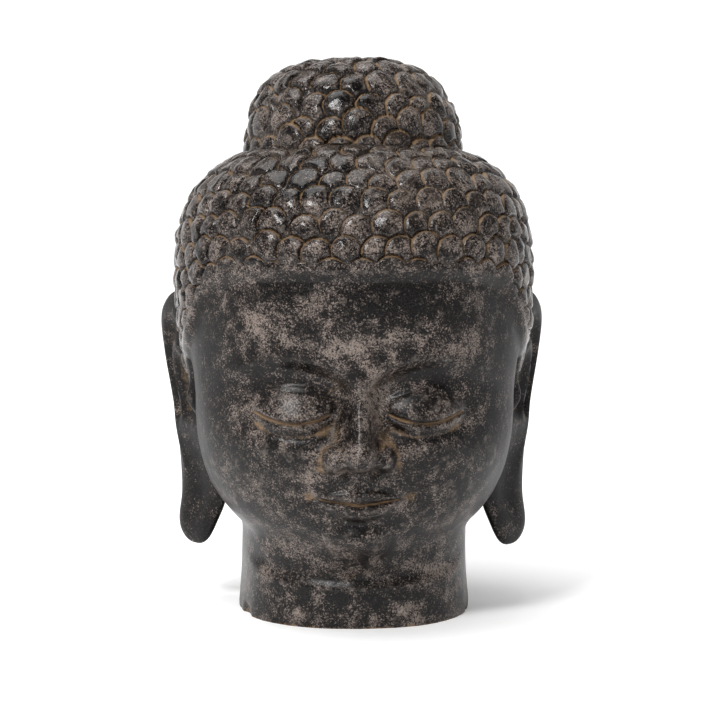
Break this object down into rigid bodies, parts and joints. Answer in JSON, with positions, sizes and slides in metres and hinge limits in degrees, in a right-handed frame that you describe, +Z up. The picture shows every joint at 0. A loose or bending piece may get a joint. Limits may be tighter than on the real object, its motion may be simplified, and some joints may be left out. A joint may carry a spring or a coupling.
{
  "type": "stone buddha head",
  "caption": "Carved dark stone Buddha head with curled hair, raised topknot and long ears, standing on its flat cut neck as a table or shelf ornament",
  "frame": {"origin": "middle of the flat cut base of the neck", "axes": "+Z up, -Y the way the face looks, +X at the viewer's right when facing it"},
  "size_m": [0.2134, 0.2214, 0.3],
  "materials": {
    "dark_stone": "worn satin polish with speckle and ochre dust in the cuts"
  },
  "bodies": {
    "root": {"head": "dark_stone"}
  },
  "joints": []
}
